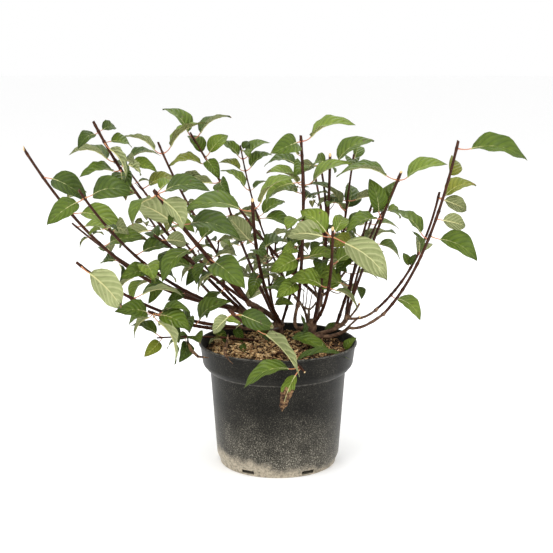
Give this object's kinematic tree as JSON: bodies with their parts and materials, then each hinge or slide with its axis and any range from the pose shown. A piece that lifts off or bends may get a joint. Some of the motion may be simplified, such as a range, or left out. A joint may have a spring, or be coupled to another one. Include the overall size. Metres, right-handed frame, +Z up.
{
  "type": "potted shrub",
  "caption": "Deciduous garden shrub with long dark leafy shoots on a low pruned woody base, in a round black plastic nursery pot filled with bark compost.",
  "frame": {"origin": "middle of the pot's flat underside, where it stands", "axes": "+X to the right as pictured and along the widest spread, +Y away from the viewer, +Z up"},
  "size_m": [0.7113, 0.4182, 0.5045],
  "materials": {
    "pot": "dusty matte",
    "soil": "rough bark chips",
    "old_wood": "rough bark",
    "foliage": "satin leaf"
  },
  "bodies": {
    "root": {"arm_right_back": "old_wood", "arm_right_front": "old_wood", "bough_bend_left": "old_wood", "bough_left": "old_wood", "bough_left_upper": "old_wood", "bough_low_left": "old_wood", "bough_sweep_back": "old_wood", "bough_sweep_front": "old_wood", "branch_back": "old_wood", "fork_dead": "old_wood", "pot": "pot", "shoot_back_1": "foliage", "shoot_back_2": "foliage", "shoot_back_3": "foliage", "shoot_back_4": "foliage", "shoot_back_5": "foliage", "shoot_front_1": "foliage", "shoot_front_2": "foliage", "shoot_left_1": "foliage", "shoot_left_10": "foliage", "shoot_left_11": "foliage", "shoot_left_2": "foliage", "shoot_left_3": "foliage", "shoot_left_4": "foliage", "shoot_left_5": "foliage", "shoot_left_6": "foliage", "shoot_left_7": "foliage", "shoot_left_8": "foliage", "shoot_left_9": "foliage", "shoot_low_left_1": "foliage", "shoot_low_left_2": "foliage", "shoot_middle_1": "foliage", "shoot_middle_2": "foliage", "shoot_middle_3": "foliage", "shoot_middle_4": "foliage", "shoot_middle_5": "foliage", "shoot_middle_6": "foliage", "shoot_middle_7": "foliage", "shoot_middle_8": "foliage", "shoot_right_1": "foliage", "shoot_right_2": "foliage", "shoot_right_3": "foliage", "shoot_right_4": "foliage", "soil": "soil", "stool_left": "old_wood", "stool_right": "old_wood", "stub_right_back": "old_wood", "stub_right_front": "old_wood", "stump_back": "old_wood"}
  },
  "joints": []
}
